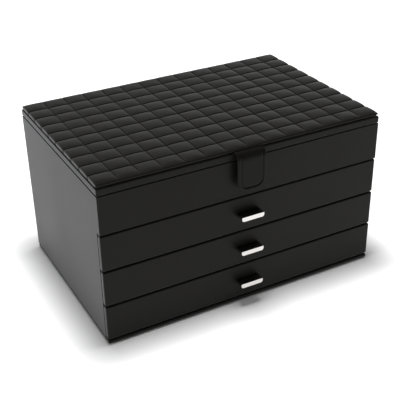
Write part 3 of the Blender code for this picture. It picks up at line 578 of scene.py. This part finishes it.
class Quilt:
    """The top of the quilted cushion as a height over a place."""

    def __init__(self):
        low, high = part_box("lid_quilt")
        self.half_x = high.x
        self.half_y = high.y
        self.bottom = low.z
        self.top = high.z - QUILT_SETTLING
        draw = random.Random(41)
        self.fullness = {}
        for i in range(QUILT_COLUMNS):
            for j in range(QUILT_ROWS):
                self.fullness[i, j] = draw.uniform(*QUILT_FULLNESS)
                # Two draws are passed over, which keeps every cell's own fullness.
                draw.uniform(-1, 1)
                draw.uniform(-1, 1)

    def cell(self, x, y):
        i = int((x + self.half_x) / (2 * self.half_x) * QUILT_COLUMNS)
        j = int((y + self.half_y) / (2 * self.half_y) * QUILT_ROWS)
        return min(max(i, 0), QUILT_COLUMNS - 1), min(max(j, 0), QUILT_ROWS - 1)

    def height(self, x, y):
        far_x, share_x, seam_x = seam_nearness(x, self.half_x, QUILT_COLUMNS)
        far_y, share_y, seam_y = seam_nearness(y, self.half_y, QUILT_ROWS)
        to_side = min(max((self.half_x - QUILT_SIDE_SHOULDER - abs(x)) / QUILT_EDGE_REACH, 0), 1)
        to_front = min(max((self.half_y - QUILT_FRONT_SHOULDER - abs(y)) / QUILT_EDGE_REACH, 0), 1)
        pull_y = QUILT_SIDE_SEAM_SHARE + (1 - QUILT_SIDE_SEAM_SHARE) * to_side
        pull_x = QUILT_FRONT_SEAM_SHARE + (1 - QUILT_FRONT_SEAM_SHARE) * to_front
        up_x = 1 - (1 - pillow(share_x)) * pull_x
        up_y = 1 - (1 - pillow(share_y)) * pull_y
        full = self.fullness[self.cell(x, y)]
        drop = QUILT_SEAM_DEPTH * (1 - up_x * up_y * full) + QUILT_CROSSING_DEPTH * (1 - up_x) * (1 - up_y)
        drop += max(
            QUILT_COLUMN_PINCH * pull_x * math.exp(-(far_x / QUILT_PINCH_WIDTH) ** 2),
            QUILT_ROW_PINCH * pull_y * math.exp(-(far_y / QUILT_PINCH_WIDTH) ** 2),
        )
        fall = QUILT_FRONT_FALL if y < 0 else QUILT_REAR_FALL
        drop += QUILT_SIDE_FALL * (1 - to_side) ** 2 + fall * (1 - to_front) ** 2
        for far, place, other in ((far_x, y, seam_x), (far_y, x, seam_y)):
            ripple = noise.noise(Vector((place / (2.1 * MM), other * 7.3, far / (6 * MM))))
            drop += QUILT_PUCKER * ripple * math.exp(-far / (3.0 * MM)) * min(far / MM, 1)
        return self.top - drop


def quilt_shape(quilt):
    """Sewn cells over foam, with the edge rolled over and drawn in below."""
    across = quilt_stops(quilt.half_x, QUILT_COLUMNS, QUILT_SIDE_SHOULDER)
    along = quilt_stops(quilt.half_y, QUILT_ROWS, QUILT_FRONT_SHOULDER)
    shape = bmesh.new()
    grid = [[shape.verts.new((x, y, quilt.height(x, y))) for y in along] for x in across]
    last_i = len(across) - 1
    last_j = len(along) - 1
    for i in range(last_i):
        for j in range(last_j):
            shape.faces.new((grid[i][j], grid[i + 1][j], grid[i + 1][j + 1], grid[i][j + 1]))
    border = [(i, 0) for i in range(last_i)]
    border += [(last_i, j) for j in range(last_j)]
    border += [(i, last_j) for i in range(last_i, 0, -1)]
    border += [(0, j) for j in range(last_j, 0, -1)]
    rings = [[grid[i][j] for i, j in border]]
    bulges = []
    necks = []
    for i, j in border:
        from_front = along[j] + quilt.half_y
        share = min(max(1 - from_front / QUILT_CORNER_TURN, 0), 1)
        neck_rise = QUILT_SIDE_NECK_RISE + (QUILT_NECK_RISE - QUILT_SIDE_NECK_RISE) * share
        bulge_rise = QUILT_SIDE_BULGE_RISE + (QUILT_BULGE_RISE - QUILT_SIDE_BULGE_RISE) * share
        necks.append(quilt.bottom + neck_rise)
        bulges.append(quilt.bottom + bulge_rise)
    for step in range(1, QUILT_ROLL_STEPS + 1):
        share = step / QUILT_ROLL_STEPS
        ring = []
        for bulge, neck, (i, j) in zip(bulges, necks, border):
            way = ((i == last_i) - (i == 0), (j == last_j) - (j == 0))
            ring.append(shape.verts.new(rolled(quilt, across[i], along[j], share, bulge, neck, way)))
        rings.append(ring)
    neck_x = across[-1] - QUILT_NECK_INSET
    neck_y = along[-1] - QUILT_NECK_INSET
    for lift in (1, 0):
        ring = []
        for neck, (i, j) in zip(necks, border):
            z = neck if lift else quilt.bottom
            x = max(-neck_x, min(neck_x, across[i]))
            y = max(-neck_y, min(neck_y, along[j]))
            ring.append(shape.verts.new((x, y, z)))
        rings.append(ring)
    count = len(border)
    for first, second in zip(rings, rings[1:]):
        for i in range(count):
            j = (i + 1) % count
            shape.faces.new((first[i], first[j], second[j], second[i]))
    shape.faces.new(rings[-1])
    return shape


def rolled(quilt, x, y, share, bulge, neck, way):
    """A point on the rolled edge, pulled in where a seam runs over it."""
    far_x = seam_nearness(x, quilt.half_x, QUILT_COLUMNS)[0] if way[1] else 1
    far_y = seam_nearness(y, quilt.half_y, QUILT_ROWS)[0] if way[0] else 1
    far = min(far_x, far_y)
    pinch = QUILT_SIDE_SCALLOP if way[0] else QUILT_FRONT_SCALLOP
    pinch *= math.exp(-(far / QUILT_SCALLOP_WIDTH) ** 2)
    squareness = QUILT_SIDE_SQUARENESS if way[0] else QUILT_FRONT_SQUARENESS
    start = 0 if way[0] else math.radians(QUILT_ROLL_START)
    angle = start + (math.pi - start) * share
    out = max(math.sin(angle), 0) ** squareness
    top = quilt.height(x, y)
    turn = abs(math.cos(angle)) ** squareness
    if angle < math.pi / 2:
        out = (out - math.sin(start)) / (1 - math.sin(start))
        z = bulge + (top - bulge) * turn / math.cos(start)
    else:
        z = bulge - (bulge - neck) * turn
    if way[0] and way[1]:
        out *= 0.85
    out_x = (QUILT_SIDE_SHOULDER - pinch) * out
    out_y = (QUILT_FRONT_SHOULDER - pinch) * out
    return (x + way[0] * out_x, y + way[1] * out_y, z)


def add_capsule(shape, start, end, radius, finish=0, sides=6):
    """A stitch: a short round stroke with tapered ends."""
    run = end - start
    length = run.length
    turn = run.to_track_quat("Z", "Y").to_matrix()
    rings = []
    for along, size in ((0, 0.45), (0.15, 1), (0.85, 1), (1, 0.45)):
        ring = []
        for k in range(sides):
            angle = 2 * math.pi * k / sides
            wide = radius * size
            local = Vector((wide * math.cos(angle), wide * math.sin(angle), length * along))
            ring.append(shape.verts.new(start + turn @ local))
        rings.append(ring)
    for first, second in zip(rings, rings[1:]):
        for k in range(sides):
            m = (k + 1) % sides
            shape.faces.new((first[k], first[m], second[m], second[k])).material_index = finish
    shape.faces.new(rings[0]).material_index = finish
    shape.faces.new(rings[-1]).material_index = finish


def quilt_stitches(quilt):
    """Lock stitches lying at the bottom of every seam."""
    shape = bmesh.new()
    for half, cells, other, crosswise in (
        (quilt.half_x, QUILT_COLUMNS, quilt.half_y, False),
        (quilt.half_y, QUILT_ROWS, quilt.half_x, True),
    ):
        pitch = 2 * half / cells
        reach = other - STITCH_END_GAP
        count = int(2 * reach / STITCH_PITCH)
        for seam in range(1, cells):
            place = -half + pitch * seam
            for k in range(count):
                start = -reach + k * STITCH_PITCH
                ends = []
                for along in (start, start + STITCH_LENGTH):
                    x, y = (along, place) if crosswise else (place, along)
                    ends.append(Vector((x, y, quilt.height(x, y) + STITCH_RISE)))
                add_capsule(shape, ends[0], ends[1], STITCH_RADIUS)
    return shape


def quilted_lid():
    """The covered lid board with the cushion and its quilting on top."""
    wrapped_board("lid_board_wrap", "lid_board", LID_EDGE_RADIUS, "lid", LID_WRAP_RAISE)
    quilt = Quilt()
    cushion = add_piece("quilted_cushion", quilt_shape(quilt), [QUILT_LEATHER], "lid")
    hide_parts("lid_quilt")
    add_piece("quilt_stitching", quilt_stitches(quilt), [THREAD], "lid")


# Strap

def strap_line(samples):
    """Middle line of the strap from under the cushion, over, and down."""
    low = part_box("closure_tab")[0]
    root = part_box("tab_anchor")
    axis_y = root[0].y - STRAP_ROOT_REACH
    axis_z = (root[0].z + root[1].z) / 2
    middle_y = low.y + STRAP_THICKNESS / 2
    points = [Vector((0, root[1].y, axis_z)), Vector((0, axis_y, axis_z))]
    reach = axis_y - middle_y
    for i in range(1, STRAP_ARCH_STEPS + 1):
        angle = math.pi / 2 * i / STRAP_ARCH_STEPS
        points.append(Vector((
            0, axis_y - reach * math.sin(angle), axis_z - STRAP_ARCH_DROP * (1 - math.cos(angle))
        )))
    points.append(Vector((0, middle_y, low.z)))
    lengths = [0]
    for a, b in zip(points, points[1:]):
        lengths.append(lengths[-1] + (b - a).length)
    total = lengths[-1]
    line = []
    for k in range(samples + 1):
        target = total * k / samples
        n = 0
        while n < len(lengths) - 2 and lengths[n + 1] < target:
            n += 1
        share = (target - lengths[n]) / (lengths[n + 1] - lengths[n])
        line.append((target, points[n].lerp(points[n + 1], share)))
    return line, total


def inside_distance(across, from_tip, half):
    """Distance from a place on the strap to its outline, a rounded end."""
    radius = STRAP_CORNER_RADIUS
    corner_x = half - radius
    if from_tip < radius and abs(across) > corner_x:
        return radius - math.hypot(abs(across) - corner_x, radius - from_tip)
    return min(half - abs(across), from_tip)


def strap_half(from_tip, half):
    """Half width of the strap at a distance from its tip."""
    radius = STRAP_CORNER_RADIUS
    if from_tip >= radius:
        return half
    return half - radius + math.sqrt(max(radius ** 2 - (radius - from_tip) ** 2, 0))


def strap():
    """Two layers of leatherette turned in at the edges and sewn near them."""
    low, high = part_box("closure_tab")
    half = (high.x - low.x) / 2
    samples = STRAP_SAMPLES
    columns = STRAP_COLUMNS
    line, total = strap_line(samples)
    shape = bmesh.new()
    spots = {}
    for side in (1, -1):
        for k, (run, point) in enumerate(line):
            before = line[max(k - 1, 0)][1]
            after = line[min(k + 1, samples)][1]
            ahead = (after - before).normalized()
            normal = Vector((0, ahead.z, -ahead.y)) * side
            from_tip = max(total - run, 0)
            grown = min(max((run - STRAP_ROOT_RUN) / STRAP_GROWTH_RUN, 0), 1)
            thick = (STRAP_ROOT_THICKNESS + (STRAP_THICKNESS - STRAP_ROOT_THICKNESS) * grown) / 2
            wide = strap_half(from_tip, half)
            for c in range(columns + 1):
                across = wide * math.sin(math.pi / 2 * (2 * c / columns - 1))
                depth = inside_distance(across, from_tip, half)
                up = thick
                edge = min(STRAP_EDGE_RADIUS, thick)
                if depth < edge:
                    up -= edge * (1 - math.sqrt(max(1 - (1 - max(depth, 0) / edge) ** 2, 0)))
                if side > 0 and grown > 0.2:
                    beside = (depth - STRAP_STITCH_INSET) / STRAP_GROOVE_WIDTH
                    up -= STRAP_GROOVE_DEPTH * math.exp(-beside ** 2) * grown
                spots[side, k, c] = shape.verts.new(point + Vector((across, 0, 0)) + normal * up)
    for side in (1, -1):
        for k in range(samples):
            for c in range(columns):
                shape.faces.new([
                    spots[side, k, c], spots[side, k, c + 1],
                    spots[side, k + 1, c + 1], spots[side, k + 1, c],
                ])
    rim = [(k, 0) for k in range(samples + 1)] + [(samples, c) for c in range(1, columns + 1)]
    rim += [(k, columns) for k in range(samples - 1, -1, -1)] + [(0, c) for c in range(columns - 1, 0, -1)]
    for n, (k, c) in enumerate(rim):
        m, d = rim[(n + 1) % len(rim)]
        shape.faces.new([spots[1, k, c], spots[1, m, d], spots[-1, m, d], spots[-1, k, c]])
    bmesh.ops.remove_doubles(shape, verts=shape.verts[:], dist=0.01 * MM)
    strap_stitches(shape, half, line)
    thing = add_piece("closure_strap", shape, [STRAP_LEATHER, THREAD], None)
    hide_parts("closure_tab", "tab_anchor")
    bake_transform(thing)


def strap_stitches(shape, half, line):
    """A row of stitches down one edge, round the tip and up the other."""
    face_y = line[-1][1].y - STRAP_THICKNESS / 2 + STRAP_GROOVE_DEPTH * 0.8
    tip = line[-1][1].z
    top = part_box("tab_anchor")[1].z - STRAP_ARCH_DROP - STRAP_STITCH_START
    inset = STRAP_STITCH_INSET
    radius = STRAP_CORNER_RADIUS - inset
    flat = half - STRAP_CORNER_RADIUS
    path = [Vector((-(half - inset), face_y, top))]
    for k in range(STRAP_TIP_STEPS + 1):
        angle = math.pi / 2 * k / STRAP_TIP_STEPS
        path.append(Vector((
            -flat - radius * math.cos(angle), face_y, tip + STRAP_CORNER_RADIUS - radius * math.sin(angle)
        )))
    path += [Vector((-p.x, p.y, p.z)) for p in reversed(path)]
    lengths = [0]
    for a, b in zip(path, path[1:]):
        lengths.append(lengths[-1] + (b - a).length)

    def at(target):
        n = 0
        while n < len(lengths) - 2 and lengths[n + 1] < target:
            n += 1
        span = max(lengths[n + 1] - lengths[n], 1e-9)
        return path[n].lerp(path[n + 1], (target - lengths[n]) / span)

    count = int(lengths[-1] / STITCH_PITCH)
    for k in range(count):
        start = k * STITCH_PITCH
        add_capsule(shape, at(start), at(start + STITCH_LENGTH), STITCH_RADIUS, 1)


# Drawers

def pull_shape(low, high):
    """A lip run out from the drawer front, its lower corners round, its face edge eased."""
    outline = []
    for start, radius in (
        (0, PULL_TOP_RADIUS), (90, PULL_TOP_RADIUS), (180, PULL_CORNER_RADIUS), (270, PULL_CORNER_RADIUS)
    ):
        x = high.x - radius if start in (0, 270) else low.x + radius
        z = high.z - radius if start < 180 else low.z + radius
        for k in range(PULL_CORNER_STEPS + 1):
            angle = math.radians(start + 90 * k / PULL_CORNER_STEPS)
            outline.append((x + radius * math.cos(angle), z + radius * math.sin(angle)))
    walls = Panels()
    for y in (low.y, high.y):
        walls.face([(x, y, z) for x, z in outline])
    for a, b in zip(outline, outline[1:] + outline[:1]):
        walls.face([(a[0], low.y, a[1]), (b[0], low.y, b[1]), (b[0], high.y, b[1]), (a[0], high.y, a[1])])

    def weigh(a, b):
        return 1.0 if max(a.y, b.y) < low.y + MM / 100 else 0.0

    return round_by_weight(walls.shape, weigh, PULL_EDGE_RADIUS)


def drawer(number):
    """A covered drawer front and the plated pull screwed to it."""
    body = f"drawer_{number}"
    wrapped_board(f"{body}_front_wrap", f"{body}_front", FRONT_EDGE_RADIUS, body)
    low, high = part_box(f"{body}_pull")
    pull = add_piece(f"{body}_pull_plate", pull_shape(low, high), [CHROME], body, True)
    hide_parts(f"{body}_pull")


# Interior

def ring_rolls():
    """Velvet rolls side by side; rings stand in the slits between them."""
    low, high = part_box("ring_pad")
    pitch = (high.y - low.y) / RING_ROLLS
    slit = high.z - RING_SLIT_DEPTH
    shape = bmesh.new()
    profile = []
    for roll in range(RING_ROLLS):
        for k in range(RING_ROUND_STEPS + 1):
            if k == RING_ROUND_STEPS and roll < RING_ROLLS - 1:
                continue
            angle = math.pi * k / RING_ROUND_STEPS
            across = low.y + pitch * (roll + 0.5) - (pitch / 2) * math.cos(angle)
            profile.append((across, max(math.sin(angle), 0.0) ** RING_ROLL_SQUARENESS))
    rows = []
    for n in range(RING_LENGTH_STEPS + 1):
        share = n / RING_LENGTH_STEPS
        x = low.x + (high.x - low.x) * share
        from_end = min(share, 1 - share) * (high.x - low.x)
        soft = math.sqrt(max(1 - (1 - min(from_end / RING_END_ROUND, 1)) ** 2, 0))
        row = [shape.verts.new((x, low.y, low.z))]
        for across, up in profile:
            z = slit + (high.z - slit) * up * (RING_END_HEIGHT + (1 - RING_END_HEIGHT) * soft)
            z += RING_RIPPLE * noise.noise(Vector((x * 90, across * 90, 3.1)))
            row.append(shape.verts.new((x, across, min(z, high.z))))
        row.append(shape.verts.new((x, high.y, low.z)))
        rows.append(row)
    for a, b in zip(rows, rows[1:]):
        for k in range(len(a) - 1):
            shape.faces.new((a[k], a[k + 1], b[k + 1], b[k]))
        shape.faces.new((a[-1], a[0], b[0], b[-1]))
    shape.faces.new(rows[0])
    shape.faces.new(rows[-1])
    thing = add_piece("ring_rolls", shape, [CUSHION_VELVET], "case")
    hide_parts("ring_pad")


def lining_frame():
    """Velvet frame round the mirror, its edges turned over thin board."""
    low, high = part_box("lid_lining")
    inner_low, inner_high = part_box("mirror")
    x0, y0 = inner_low.x - LINING_BORDER, inner_low.y - LINING_BORDER
    x1, y1 = inner_high.x + LINING_BORDER, inner_high.y + LINING_BORDER
    outer = [(low.x, low.y), (high.x, low.y), (high.x, high.y), (low.x, high.y)]
    inner = [(x0, y0), (x1, y0), (x1, y1), (x0, y1)]
    walls = Panels()
    for n in range(4):
        m = (n + 1) % 4
        for z in (low.z, high.z):
            walls.face([(*outer[n], z), (*outer[m], z), (*inner[m], z), (*inner[n], z)])
        for ring in (outer, inner):
            walls.face([(*ring[n], low.z), (*ring[m], low.z), (*ring[m], high.z), (*ring[n], high.z)])

    def weigh(a, b):
        upright = abs(a.z - b.z) > MM
        if upright:
            return 1.0
        low_edge = a.z < low.z + MM / 10 and b.z < low.z + MM / 10
        slanted = abs(a.x - b.x) > MM and abs(a.y - b.y) > MM
        return 0.6 if low_edge and not slanted else 0.0

    shape = round_by_weight(walls.shape, weigh, LINING_EDGE_RADIUS)
    thing = add_piece("lining_frame", shape, [LINING_VELVET], "lid", True)
    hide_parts("lid_lining")


KEPT_FINISHES = (
    (FOOT_FELT, ("base_felt",)),
    (CASE_LEATHER, ("back_panel", "base_board")),
    (MIRROR, ("mirror",)),
    (NICKEL, ("hinge_", "screw", "tab_magnet", "keeper_plate")),
    (LINING_VELVET, ("",)),
)


def finish_kept_nodes():
    """CAD pieces that show as they are get their material by name."""
    for name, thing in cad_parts.items():
        for finish, words in KEPT_FINISHES:
            if any(word in name for word in words):
                break
        for place in thing.material_slots:
            place.link = "OBJECT"
            place.material = finish


# Camera, floor, light

def look():
    """The photograph's viewpoint, from a fit of the chest's own corners."""
    around = math.radians(VIEW_AROUND)
    above = math.radians(VIEW_ABOVE)
    roll = math.radians(VIEW_ROLL)
    back = Vector((
        math.sin(around) * math.cos(above), -math.cos(around) * math.cos(above), math.sin(above)
    ))
    right = Vector((0, 0, 1)).cross(back).normalized()
    up = back.cross(right)
    c = math.cos(roll)
    s = math.sin(roll)
    right, up = c * right + s * up, c * up - s * right
    turn = Matrix((right, up, back)).transposed().to_4x4()
    camera = bpy.data.cameras.new("viewpoint")
    camera.lens = VIEW_LENS
    camera.sensor_width = VIEW_SENSOR
    thing = bpy.data.objects.new("viewpoint", camera)
    thing.matrix_world = Matrix.Translation(VIEW_PLACE) @ turn
    bpy.context.scene.collection.objects.link(thing)
    bpy.context.scene.camera = thing


def seen_directly(shader):
    """1 for rays from the eye, from gloss and through glass, else 0."""
    path = add_node(shader, "ShaderNodeLightPath")
    both = add_node(
        shader, "ShaderNodeMath", {"operation": "MAXIMUM"},
        links={0: path.outputs["Is Camera Ray"], 1: path.outputs["Is Glossy Ray"]},
    )
    return add_node(
        shader, "ShaderNodeMath", {"operation": "MAXIMUM"},
        links={0: both.outputs[0], 1: path.outputs["Is Transmission Ray"]},
    ).outputs[0]


def floor():
    """A white floor that takes the chest's shadow; its glow is held down next to the chest, a painted
    shadow, and dimmed ahead of it in gloss, painted shade in the chest's reflections.
    """
    shape = bmesh.new()
    bmesh.ops.create_grid(shape, x_segments=1, y_segments=1, size=FLOOR_SIZE)
    mesh = bpy.data.meshes.new("floor")
    shape.to_mesh(mesh)
    shape.free()
    paper, shader = new_finish("white_paper", Roughness=0.9, Specular_IOR_Level=0.0)
    fibres = cloud(shader, 8, 2.0)
    feed(shader, "Base Color", mixed(shader, fibres, sRGB("#f6f6f6"), sRGB("#f9f9f9")))
    shader.inputs["Emission Color"].default_value = (1, 1, 1, 1)
    places = add_node(shader, "ShaderNodeTexCoord").outputs["Object"]
    folded = add_node(shader, "ShaderNodeVectorMath", {"operation": "ABSOLUTE"}, links={0: places})
    beyond = add_node(
        shader, "ShaderNodeVectorMath", {"operation": "SUBTRACT"},
        {1: (CAD_HIGH[0], CAD_HIGH[1], 0.0)}, {0: folded.outputs[0]},
    )
    outside = add_node(
        shader, "ShaderNodeVectorMath", {"operation": "MAXIMUM"},
        {1: (0.0, 0.0, 0.0)}, {0: beyond.outputs[0]},
    )
    away = add_node(
        shader, "ShaderNodeVectorMath", {"operation": "LENGTH"}, links={0: outside.outputs[0]}
    )
    # Painted shadow: next to the chest's footprint the floor's glow is held down, so the floor there stays
    # darker than light alone makes it.
    painted_shadow_ramp = add_node(
        shader, "ShaderNodeMapRange", {"interpolation_type": "SMOOTHSTEP"},
        {"From Min": FLOOR_CLOSE, "From Max": FLOOR_NEAR, "To Min": 0.0, "To Max": FLOOR_LIFT},
        {"Value": away.outputs["Value"]},
    )
    far_off = add_node(
        shader, "ShaderNodeMapRange", {"interpolation_type": "SMOOTHSTEP"},
        {"From Min": FLOOR_NEAR, "From Max": FLOOR_FAR, "To Min": 0.0, "To Max": FLOOR_LIFT_FAR},
        {"Value": away.outputs["Value"]},
    )
    paler = add_node(
        shader, "ShaderNodeMath", {"operation": "ADD"},
        links={0: painted_shadow_ramp.outputs["Result"], 1: far_off.outputs["Result"]},
    )
    # Painted shade in reflections: an added glow seen only in gloss, dimmed in a band just ahead of the
    # chest, so its front reflects a darker floor than its side does.
    path = add_node(shader, "ShaderNodeLightPath")
    ahead = add_node(shader, "ShaderNodeSeparateXYZ", links={0: places}).outputs["Y"]
    in_front = add_node(
        shader, "ShaderNodeMapRange", {"interpolation_type": "SMOOTHSTEP"},
        {"From Min": -GLOSS_SHADE_FAR, "From Max": -GLOSS_SHADE_NEAR, "To Min": FLOOR_GLOW_IN_GLOSS, "To Max": 0.0},
        {"Value": ahead},
    )
    beside = add_node(
        shader, "ShaderNodeMapRange", {"interpolation_type": "SMOOTHSTEP"},
        {"From Min": -GLOSS_SHADE_NEAR, "From Max": -GLOSS_SHADE_BESIDE, "To Min": 0.0, "To Max": FLOOR_GLOW_IN_GLOSS},
        {"Value": ahead},
    )
    gloss_glow = add_node(
        shader, "ShaderNodeMath", {"operation": "MAXIMUM"},
        links={0: in_front.outputs["Result"], 1: beside.outputs["Result"]},
    )
    gloss = add_node(
        shader, "ShaderNodeMath", {"operation": "MULTIPLY_ADD"},
        links={
            0: path.outputs["Is Glossy Ray"], 1: gloss_glow.outputs[0], 2: paler.outputs[0]
        },
    )
    lift = add_node(
        shader, "ShaderNodeMath", {"operation": "MULTIPLY"},
        links={0: seen_directly(shader), 1: gloss.outputs[0]},
    )
    feed(shader, "Emission Strength", lift.outputs[0])
    mesh.materials.append(paper)
    thing = bpy.data.objects.new("floor", mesh)
    bpy.context.scene.collection.objects.link(thing)


def room():
    """White to the eye; to gloss, a white backdrop that pales into a dim ceiling."""
    world = bpy.data.worlds.new("room")
    bpy.context.scene.world = world
    world.use_nodes = True
    ground = world.node_tree.nodes["Background"]
    ground.inputs["Color"].default_value = (1, 1, 1, 1)
    way = add_node(ground, "ShaderNodeTexCoord").outputs["Generated"]
    split = add_node(ground, "ShaderNodeSeparateXYZ", links={0: way})
    rise = split.outputs["Z"]
    backdrop = add_node(
        ground, "ShaderNodeMapRange", {"interpolation_type": "SMOOTHSTEP"},
        {"From Min": HORIZON_RISE, "From Max": CEILING_RISE, "To Min": 1.0, "To Max": CEILING_LEVEL},
        {"Value": rise},
    ).outputs["Result"]
    behind = add_node(
        ground, "ShaderNodeMapRange", {"interpolation_type": "SMOOTHSTEP"},
        {"From Min": BEHIND_FROM, "From Max": BEHIND_TO, "To Min": BEHIND_LEVEL, "To Max": 1.0},
        {"Value": split.outputs["Y"]},
    ).outputs["Result"]
    backdrop = add_node(
        ground, "ShaderNodeMath", {"operation": "MULTIPLY"}, links={0: backdrop, 1: behind}
    ).outputs[0]
    path = add_node(ground, "ShaderNodeLightPath")
    glossy = add_node(
        ground, "ShaderNodeMix",
        links={"Factor": path.outputs["Is Glossy Ray"], "B": backdrop}, values={"A": ROOM_LEVEL},
    ).outputs["Result"]
    clear = add_node(
        ground, "ShaderNodeMath", {"operation": "MAXIMUM"},
        links={0: path.outputs["Is Camera Ray"], 1: path.outputs["Is Transmission Ray"]},
    ).outputs[0]
    level = add_node(
        ground, "ShaderNodeMix", links={"Factor": clear, "A": glossy}, values={"B": 1.0},
    ).outputs["Result"]
    feed(ground, "Strength", level)


def softbox(name, place, target, width, height, power, seen_in_gloss):
    """A rectangular lamp turned to its target."""
    light = bpy.data.lights.new(name, "AREA")
    light.shape = "RECTANGLE"
    light.size = width
    light.size_y = height
    light.energy = power
    thing = bpy.data.objects.new(name, light)
    thing.location = place
    aim = Vector(target) - Vector(place)
    thing.rotation_euler = aim.to_track_quat("-Z", "Y").to_euler()
    thing.visible_glossy = seen_in_gloss
    bpy.context.scene.collection.objects.link(thing)


def studio():
    look()
    floor()
    room()
    for lamp in LAMPS:
        softbox(*lamp)
    bpy.context.scene.view_settings.view_transform = "Standard"


def main():
    case_wrap()
    wrapped_board("base_board_wrap", "base_board", BASE_EDGE_RADIUS, "case")
    quilted_lid()
    strap()
    for number in (1, 2, 3):
        drawer(number)
    ring_rolls()
    lining_frame()
    finish_kept_nodes()
    studio()


main()
